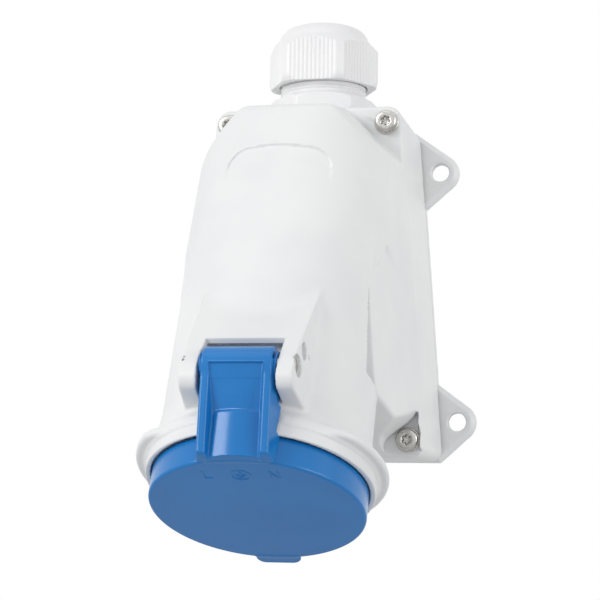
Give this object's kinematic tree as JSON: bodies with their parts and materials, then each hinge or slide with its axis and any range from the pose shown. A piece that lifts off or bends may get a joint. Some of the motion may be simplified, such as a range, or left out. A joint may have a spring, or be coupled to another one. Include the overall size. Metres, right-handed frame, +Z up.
{
  "type": "industrial wall socket",
  "caption": "Surface-mounted industrial wall socket with a leaning round tube, a spring-closed blue lid, a plastic cable gland on top and ears for wall screws",
  "frame": {"origin": "middle of the wall fixing holes, on the wall face of the back plate", "axes": "X to the right seen from the front, Y into the wall, Z up"},
  "size_m": [0.1008, 0.1393, 0.1777],
  "materials": {
    "housing_plastic": "fine moulded",
    "gland_plastic": "fine moulded",
    "lid_plastic": "satin moulded",
    "insert_plastic": "moulded",
    "stainless_steel": "bright",
    "contact_brass": "turned",
    "seal_rubber": "matt"
  },
  "bodies": {
    "housing": {"wall_plate": "housing_plastic", "plate_gasket": "seal_rubber", "hood": "housing_plastic", "cover_screws": "stainless_steel", "cover_washers": "stainless_steel", "contact_carrier": "insert_plastic", "carrier_screws": "stainless_steel", "contact_retainer": "insert_plastic", "retainer_screw": "stainless_steel", "line_contact": "contact_brass", "neutral_contact": "contact_brass", "earth_contact": "contact_brass", "contact_springs": "stainless_steel", "terminal_screws": "stainless_steel", "hinge_pin": "stainless_steel", "lid_spring": "stainless_steel", "gland_body": "gland_plastic", "gland_washer": "seal_rubber", "gland_locknut": "gland_plastic"},
    "lid": {"lid": "lid_plastic", "lid_gasket": "seal_rubber"},
    "seal": {"gland_seal": "seal_rubber"},
    "nut": {"gland_nut": "gland_plastic"}
  },
  "joints": [
    {"name": "lid_hinge", "type": "hinge", "parent": "housing", "child": "lid", "pos_m": [0, -0.13091, -0.03504], "axis": [-1, 0, 0], "range_deg": [0, 110], "stiffness_Nm_per_rad": 0.06, "springref_deg": -89.95, "deforming": ["lid_spring"]},
    {"name": "nut_travel", "type": "slide", "parent": "housing", "child": "seal", "axis": [0, 0, 1], "range_m": [-0.0015, 0.0015], "deforming": ["gland_seal"]},
    {"name": "nut_turn", "type": "hinge", "parent": "seal", "child": "nut", "pos_m": [0, -0.022, 0.0743], "axis": [0, 0, -1], "range_deg": [-362, 362]}
  ],
  "couplings": [
    {"joint": "nut_turn", "follows": "nut_travel", "rad_per_m": -4188.8}
  ]
}
